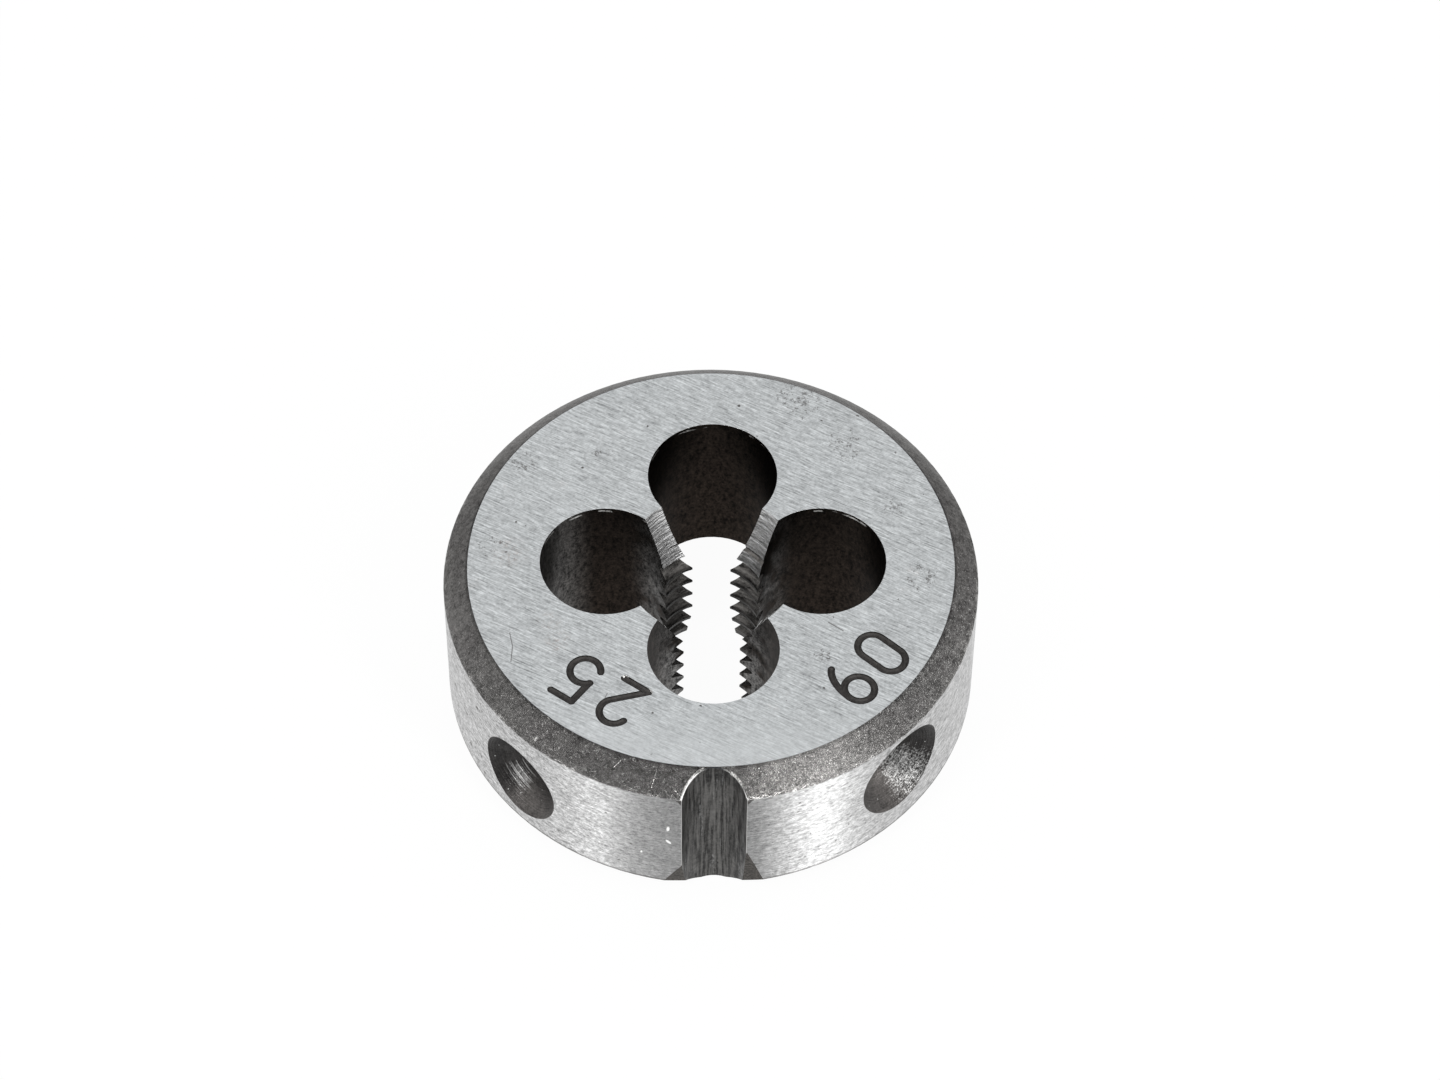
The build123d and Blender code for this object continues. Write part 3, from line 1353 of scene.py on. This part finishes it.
@dataclass(frozen=True)
class SeatFinish(Finish):
    """Countersunk seat: dark, with a brown cast and painted light on the side that faces up, fine rings,
    bright grains and a painted glint of the lamp.
    """

    seat: ScrewSeat
    glint: SeatGlint
    warm_lit_turn: float
    roughness: float = 0.38
    dark_colour: Colour = (0.046, 0.044, 0.043)
    warm_lit_colour: Colour = (0.106, 0.099, 0.095)
    glint_colour: Colour = (0.88, 0.88, 0.87)
    ring_pitch: float = 0.045

    @property
    def surface(self) -> Surface:
        """The seat's surface."""
        return self.seat.surface

    def paint(self, shop: SteelShop) -> None:
        """Paints the finish.

        Args:
            shop: Where the nodes are made.
        """
        glint, angle = self.glint, radians(self.seat.angle)
        sideways = shop.y * cos(angle) - shop.x * sin(angle)
        lift = shop.z - self.seat.height
        reach = sideways.diagonal(lift)
        turns = [radians(turn) for turn in (self.warm_lit_turn, glint.turn)]
        warm_and_lit, toward = ((sideways * cos(turn) + lift * sin(turn)) / reach.most(0.05) for turn in turns)
        wobble = shop.noise(1.6, 2.0)
        rings = shop.texture(shop.vector(reach * (1 / self.ring_pitch), wobble * 1.2, 0.0), 1.0, 2.0, 0.6)
        grit = shop.noise(10.0, 4.0, 0.75)
        blotch = shop.noise(2.2, 3.0, 0.6)
        tone = 1 + rings.swing(1.2) + grit.swing(2.2) + blotch.swing(1.2)
        # Painted light with a brown cast: the lower wall, which faces up, is lighter.
        colour = shop.blend(warm_and_lit.ramp(0.15, 0.80), self.dark_colour, self.warm_lit_colour)

        # Painted highlight: the lamp's glint in a sector of the cone, with rings or grit in it.
        spread = radians(glint.spread)
        patch = (reach - glint.start).ramp(-0.1, 0.4) * (reach - glint.end).ramp(0.35, -0.25)
        patch = patch * toward.ramp(cos(spread), cos(spread * 0.15))
        texture = rings * glint.ringed + grit * (1 - glint.ringed)
        glitter = (texture + blotch.swing(0.15) + patch * 0.18).ramp(0.58, 0.84) * patch.ramp(0.0, 0.35)
        near, chance = shop.grains(5.0)
        grains = (near + grit.swing(0.4)).ramp(0.24, 0.10) * chance.ramp(0.88, 0.95) * 0.5
        bright = (glitter * glint.share).most(grains)
        colour = shop.blend(bright, shop.shade(colour, tone.most(0.3)), self.glint_colour)
        shop.steel(colour, self.roughness, normal=shop.bump(rings + grit * 0.7, 0.03))


@dataclass(frozen=True)
class EdgeFinish(Finish):
    """Broken edges: painted highlights round the holes and on the groove's arch, dark round the face, worn
    elsewhere.
    """

    surface: Surface = Surface.BROKEN_EDGE
    roughness: float = 0.40
    glint_colour: Colour = (0.80, 0.80, 0.79)
    arch_colour: Colour = (0.98, 0.98, 0.97)
    worn_colour: Colour = (0.48, 0.48, 0.47)
    dull_colour: Colour = (0.16, 0.155, 0.15)
    dark_colour: Colour = (0.05, 0.055, 0.065)
    hole_zone: Span = (11.1, 10.9)
    hole_height: Span = (8.7, 8.8)
    groove_reach: Span = (0.3, 0.2)
    arch_foot: Span = (7.7, 7.9)
    arch_top: Span = (8.85, 8.7)
    arch_left: Span = (-0.2, -0.5)
    face_reach: Span = (0.25, 0.12)
    face_height: Span = (8.86, 8.92)
    foot_zone: Span = (12.2, 12.4)
    foot_height: Span = (1.3, 1.2)

    def paint(self, shop: SteelShop) -> None:
        """Paints the finish.

        Args:
            shop: Where the nodes are made.
        """
        z, radius = shop.z, shop.apart(MIDDLE)
        worn = shop.noise(1.3, 3.0, 0.65).ramp(0.44, 0.62)
        flaked = shop.noise(2.4, 3.0, 0.7).ramp(0.44, 0.56)
        # Painted highlights: the edges round the holes' mouths take the glint colour, and the groove's arch
        # turns near matt white.
        hole_edge_glint = radius.ramp(*self.hole_zone) * z.ramp(*self.hole_height)
        by_groove = (shop.apart(SIZES.groove_axis) - SIZES.groove_radius).ramp(*self.groove_reach)
        arch = by_groove * z.ramp(*self.arch_foot) * z.ramp(*self.arch_top)
        gleam = arch * flaked.most((shop.x - SIZES.groove_axis[0]).ramp(*self.arch_left))
        face_edge = (radius - SIZES.face_radius).size().ramp(*self.face_reach)
        face_edge = face_edge * z.ramp(*self.face_height)
        foot_edge = radius.ramp(*self.foot_zone) * z.ramp(*self.foot_height)
        colour = shop.blend(worn.most(hole_edge_glint), self.dull_colour, self.glint_colour)
        colour = shop.blend(by_groove, colour, self.worn_colour)
        colour = shop.blend(gleam, colour, self.arch_colour)
        colour = shop.blend(face_edge.most(foot_edge), colour, self.dark_colour)
        shop.steel(colour, self.roughness + arch * 0.4, 1 - gleam * 0.85)


FINISHES: tuple[Finish, ...] = (
    GroundFaceFinish(),
    RimFinish(),
    ChamferFinish(),
    GrooveFinish(),
    ChipHoleFinish(),
    EdgeFinish(),
    RoughFinish(Surface.CORNER_FLAT, (0.078, 0.072, 0.066), contrast=1.6),
    RoughFinish(Surface.ENGRAVING, (0.055, 0.052, 0.05), roughness=0.6, grain=5.0, contrast=0.7),
    TurnedFinish(Surface.LEAD_TAPER, (0.63, 0.63, 0.63), line_pitch=0.33, contrast=1.3),
    TurnedFinish(Surface.TEETH, (0.066, 0.063, 0.060), 0.3, 2.4, roughness=0.48, crest_shade=0.55),
    SeatFinish(SEATS[0], SeatGlint(240.0, 34.0, 1.05, 1.95, 0.52, 0.75), warm_lit_turn=315.0),
    SeatFinish(SEATS[1], SeatGlint(302.0, 50.0, 0.8, 2.6, 0.68, 0.25), warm_lit_turn=222.0),
    SeatFinish(SEATS[2], SeatGlint(243.0, 30.0, 1.2, 2.2, 0.6, 0.6), warm_lit_turn=315.0),
    SeatFinish(SEATS[3], SeatGlint(299.0, 30.0, 1.2, 2.2, 0.6, 0.6), warm_lit_turn=222.0),
)


@dataclass
class DieBody:
    """The die's visible body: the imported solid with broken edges, plain numbers and its finishes."""

    sizes: DieSizes = SIZES
    numbers: tuple[EngravedNumber, ...] = NUMBERS
    finishes: tuple[Finish, ...] = FINISHES
    merge_distance: float = 0.0004
    flat_angle: float = 0.15
    edge_sharpness: float = 24.0
    edge_break: float = 0.05
    groove_break: float = 0.15
    groove_segments: int = 4
    groove_slack: float = 0.03
    worn_edge: Span = (4.2, 8.98)
    level_slack: float = 0.01
    zone_slack: float = 0.6
    engraving_reach: float = 0.3
    corner_flat_side: float = 2.6
    corner_flat_top: float = 4.2
    corner_flat_tilt: Span = (-0.3, -0.05)
    corner_turn: float = 0.5

    def copy_solid(self) -> bpy.types.Object:
        """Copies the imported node, in millimetres, as one closed mesh.

        Returns:
            The copy.
        """
        Bench.only(frame["nodes"][NODE])
        bpy.ops.object.duplicate()
        body = bpy.context.view_layer.objects.active
        body.name = body.data.name = "die_body"
        for key in list(body.keys()):
            del body[key]
        body.parent = None
        Bench.resize(body, 1 / MM)
        Bench.merge(body, self.merge_distance, self.flat_angle)
        return body

    def by_number(self, spot: Vector) -> bool:
        """Whether a spot is seen close to one of the numbers' digits."""
        return any(number.near(spot) for number in self.numbers)

    def on_outside(self, spot: Vector) -> bool:
        """Whether an edge belongs to the rim, a face or a hole's mouth, and not to the teeth or a number.

        Args:
            spot: The edge's middle.

        Returns:
            True where it does.
        """
        radius = hypot(spot.x, spot.y)
        at_face = spot.z > self.sizes.thickness - self.level_slack or spot.z < self.level_slack
        if at_face and self.by_number(spot):
            return False
        past_teeth = at_face and radius > self.sizes.core_radius + self.zone_slack
        return radius > self.sizes.face_radius - self.zone_slack or past_teeth

    def on_groove_edge(self, spot: Vector) -> bool:
        """Whether an edge is part of the groove's arch in the upper chamfer, or of its mouth in the rim.

        Args:
            spot: The edge's middle.

        Returns:
            True where it is.
        """
        x, y = self.sizes.groove_axis
        off_wall = abs(hypot(spot.x - x, spot.y - y) - self.sizes.groove_radius)
        foot, top = self.worn_edge
        return off_wall < self.groove_slack and foot < spot.z < top

    def odd_surface(self, spot: Vector, normal: Vector) -> Surface:
        """Surface of a face that lies on none of the exact surfaces.

        Args:
            spot: The face's middle, in millimetres.
            normal: The face's direction.

        Returns:
            The engraving, a corner flat or a broken edge.
        """
        if 0 < self.sizes.thickness - spot.z < self.engraving_reach and self.by_number(spot):
            return Surface.ENGRAVING
        in_front = spot.y < self.zone_slack - self.sizes.face_radius and spot.z < self.corner_flat_top
        beside_groove = abs(spot.x - self.sizes.groove_axis[0]) < self.corner_flat_side
        least, most = self.corner_flat_tilt
        if in_front and beside_groove and least < normal.z < most:
            return Surface.CORNER_FLAT
        return Surface.BROKEN_EDGE

    def dress(self, body: bpy.types.Object) -> dict[Surface, int]:
        """Gives each face of the body its finish, and each corner the exact surface's direction.

        Args:
            body: The body, its mesh in millimetres.

        Returns:
            How many faces each surface has.
        """
        made = {finish.surface: finish.material() for finish in self.finishes}
        mesh = body.data
        mesh.materials.clear()
        order = list(Surface)
        for surface in order:
            mesh.materials.append(made[surface])
        count = dict.fromkeys(order, 0)
        skins = die_skins(self.sizes)
        directions = [Vector((0, 0, 0))] * len(mesh.loops)
        at_corner: dict[int, Vector] = {}
        odd = []
        for face in mesh.polygons:
            face.use_smooth = True
            skin = next((skin for skin in skins if skin.fits(face.center, face.normal)), None)
            surface = skin.surface if skin else self.odd_surface(face.center, face.normal)
            face.material_index = order.index(surface)
            count[surface] += 1
            if skin is None:
                odd.append((face, surface))
                continue
            for loop in face.loop_indices:
                corner = mesh.loops[loop].vertex_index
                directions[loop] = skin.facing(mesh.vertices[corner].co)
                at_corner[corner] = at_corner.get(corner, Vector((0, 0, 0))) + directions[loop]
        for face, surface in odd:
            for loop in face.loop_indices:
                rounded = at_corner.get(mesh.loops[loop].vertex_index, face.normal).normalized()
                turned = surface is Surface.BROKEN_EDGE and rounded.dot(face.normal) > self.corner_turn
                directions[loop] = rounded if turned else face.normal
        mesh.normals_split_custom_set(directions)
        return count

    def build(self) -> bpy.types.Object:
        """Makes the body and puts it in the node's place.

        Returns:
            The body.
        """
        body = self.copy_solid()
        for number in self.numbers:
            number.engrave(body, self.sizes.thickness)
        edges = Bench.break_edges(
            body, self.edge_sharpness, self.on_groove_edge, self.groove_break, self.groove_segments
        )
        edges += Bench.break_edges(body, self.edge_sharpness, self.on_outside, self.edge_break)
        count = self.dress(body)
        Bench.resize(body, MM)
        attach(body, BODY)
        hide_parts(NODE)
        log.info("die body: %d faces, %d broken edges", len(body.data.polygons), edges)
        for surface, faces in count.items():
            log.info("  %s: %d faces", surface.value, faces)
        return body


@dataclass(frozen=True)
class Softbox:
    """A rectangular lamp that looks at the die. Azimuth 0 is in front of it, and 90 to its right."""

    name: str
    azimuth: float
    elevation: float
    distance: float
    size: Point
    radiance: float

    def place(self, target: Vector) -> bpy.types.Object:
        """Hangs the lamp.

        Args:
            target: What the lamp looks at, in metres.

        Returns:
            The lamp.
        """
        turn, lift = radians(self.azimuth), radians(self.elevation)
        away = Vector((sin(turn) * cos(lift), -cos(turn) * cos(lift), sin(lift)))
        lamp = bpy.data.lights.new(self.name, "AREA")
        lamp.shape = "RECTANGLE"
        lamp.size, lamp.size_y = self.size
        lamp.energy = self.radiance * pi * self.size[0] * self.size[1]
        obj = bpy.data.objects.new(self.name, lamp)
        bpy.context.scene.collection.objects.link(obj)
        obj.location = target + away * self.distance
        obj.rotation_euler = (-away).to_track_quat("-Z", "Y").to_euler()
        return obj


@dataclass(frozen=True)
class Screen:
    """A flat part of the studio: the floor or a card."""

    name: str
    size: Point

    def place(self, stand: Matrix, material: bpy.types.Material) -> bpy.types.Object:
        """Stands the screen up, its place in its mesh.

        Args:
            stand: Brings it from lying in the frame's origin to its place, in metres.
            material: Its material.

        Returns:
            The screen.
        """
        bpy.ops.object.select_all(action="DESELECT")
        bpy.ops.mesh.primitive_plane_add(size=1, location=(0, 0, 0))
        screen = bpy.context.view_layer.objects.active
        screen.name = self.name
        screen.data.transform(stand @ Matrix.Diagonal((*self.size, 1, 1)))
        screen.data.materials.append(material)
        return screen


@dataclass
class Studio:
    """Pale floor, soft light and the camera at the photograph's viewing angle, in metres and degrees."""

    floor: Screen = Screen("floor", (3.0, 3.0))
    floor_drop: float = 0.00002
    floor_glow: float = 0.96
    floor_colour: Colour = (0.82, 0.82, 0.82)
    white: Colour = (1.0, 1.0, 1.0)
    card: Screen = Screen("dark_card", (0.52, 0.66))
    card_distance: float = 0.5
    card_elevation: float = 33.5
    card_colour: Colour = (0.10, 0.10, 0.10)
    camera_place: Triple = (-0.0000129, -0.1322522, 0.1890451)
    camera_turn: Triple = (36.5872, -0.2928, 0.2123)
    camera_near: float = 0.01
    lens: float = 119.974
    sensor_width: float = 36.0
    lamps: tuple[Softbox, ...] = (
        Softbox("lamp_left", -43.0, 52.0, 0.45, (0.07, 0.26), 11.0),
        Softbox("lamp_right", 40.0, 37.0, 0.45, (0.09, 0.26), 13.6),
    )

    def lay_floor(self) -> None:
        """Lays the floor: white to the eye and in the steel, with the die's shadow on it."""
        shop = PaintShop(bpy.data.materials.new("floor_white"))
        rays = shop.make("ShaderNodeLightPath", {}, {})
        kinds = ("Is Camera Ray", "Is Glossy Ray", "Is Transmission Ray")
        seen = strongest(Field(shop, rays.outputs[kind]) for kind in kinds)
        glow = shop.make("ShaderNodeEmission", {}, {"Color": with_alpha(self.white), "Strength": 1.0})
        sockets = {0: seen * self.floor_glow, 1: shop.matt(self.floor_colour), 2: glow.outputs[0]}
        mixed = shop.make("ShaderNodeMixShader", {}, sockets)
        floor = self.floor.place(Matrix.Translation((0, 0, -self.floor_drop)), shop.finish(mixed.outputs[0]))
        floor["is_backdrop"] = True

    def stand_card(self) -> None:
        """Stands a dark card behind the camera, where the steel sees it and the camera doesn't."""
        shop = PaintShop(bpy.data.materials.new("card_black"))
        tilt = Euler((radians(90 - self.card_elevation), 0, 0)).to_matrix().to_4x4()
        stand = tilt @ Matrix.Translation((0, 0, self.card_distance))
        card = self.card.place(stand, shop.finish(shop.matt(self.card_colour)))
        card.visible_camera = False
        card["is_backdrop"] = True

    def hang_sky(self) -> None:
        """Surrounds the die with plain white light."""
        world = bpy.data.worlds.new("studio")
        bpy.context.scene.world = world
        shop = PaintShop(world)
        sky = shop.make("ShaderNodeBackground", {}, {"Color": with_alpha(self.white), "Strength": 1.0})
        shop.make("ShaderNodeOutputWorld", {}, {"Surface": sky.outputs[0]})

    def set_camera(self) -> None:
        """Puts the camera where the photograph was taken from."""
        lens = bpy.data.cameras.new("camera")
        lens.lens = self.lens
        lens.sensor_width = self.sensor_width
        lens.clip_start = self.camera_near
        camera = bpy.data.objects.new("camera", lens)
        bpy.context.scene.collection.objects.link(camera)
        camera.location = self.camera_place
        camera.rotation_euler = Euler([radians(turn) for turn in self.camera_turn], "XYZ")
        bpy.context.scene.camera = camera

    def build(self, target: Vector) -> None:
        """Sets up the whole studio.

        Args:
            target: What the lamps look at, in metres.
        """
        self.lay_floor()
        self.hang_sky()
        self.stand_card()
        for lamp in self.lamps:
            lamp.place(target)
        self.set_camera()
        bpy.context.scene.view_settings.view_transform = "Standard"
        log.info("studio: floor, sky, dark card, %d lamps and the camera", len(self.lamps))


def main() -> None:
    """Builds the die and its studio."""
    logging.basicConfig(level=logging.INFO, format="%(name)s: %(message)s")
    solid_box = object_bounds()
    DieBody().build()
    low, high = solid_box
    Studio().build((low + high) / 2)


if __name__ == "__main__":
    main()
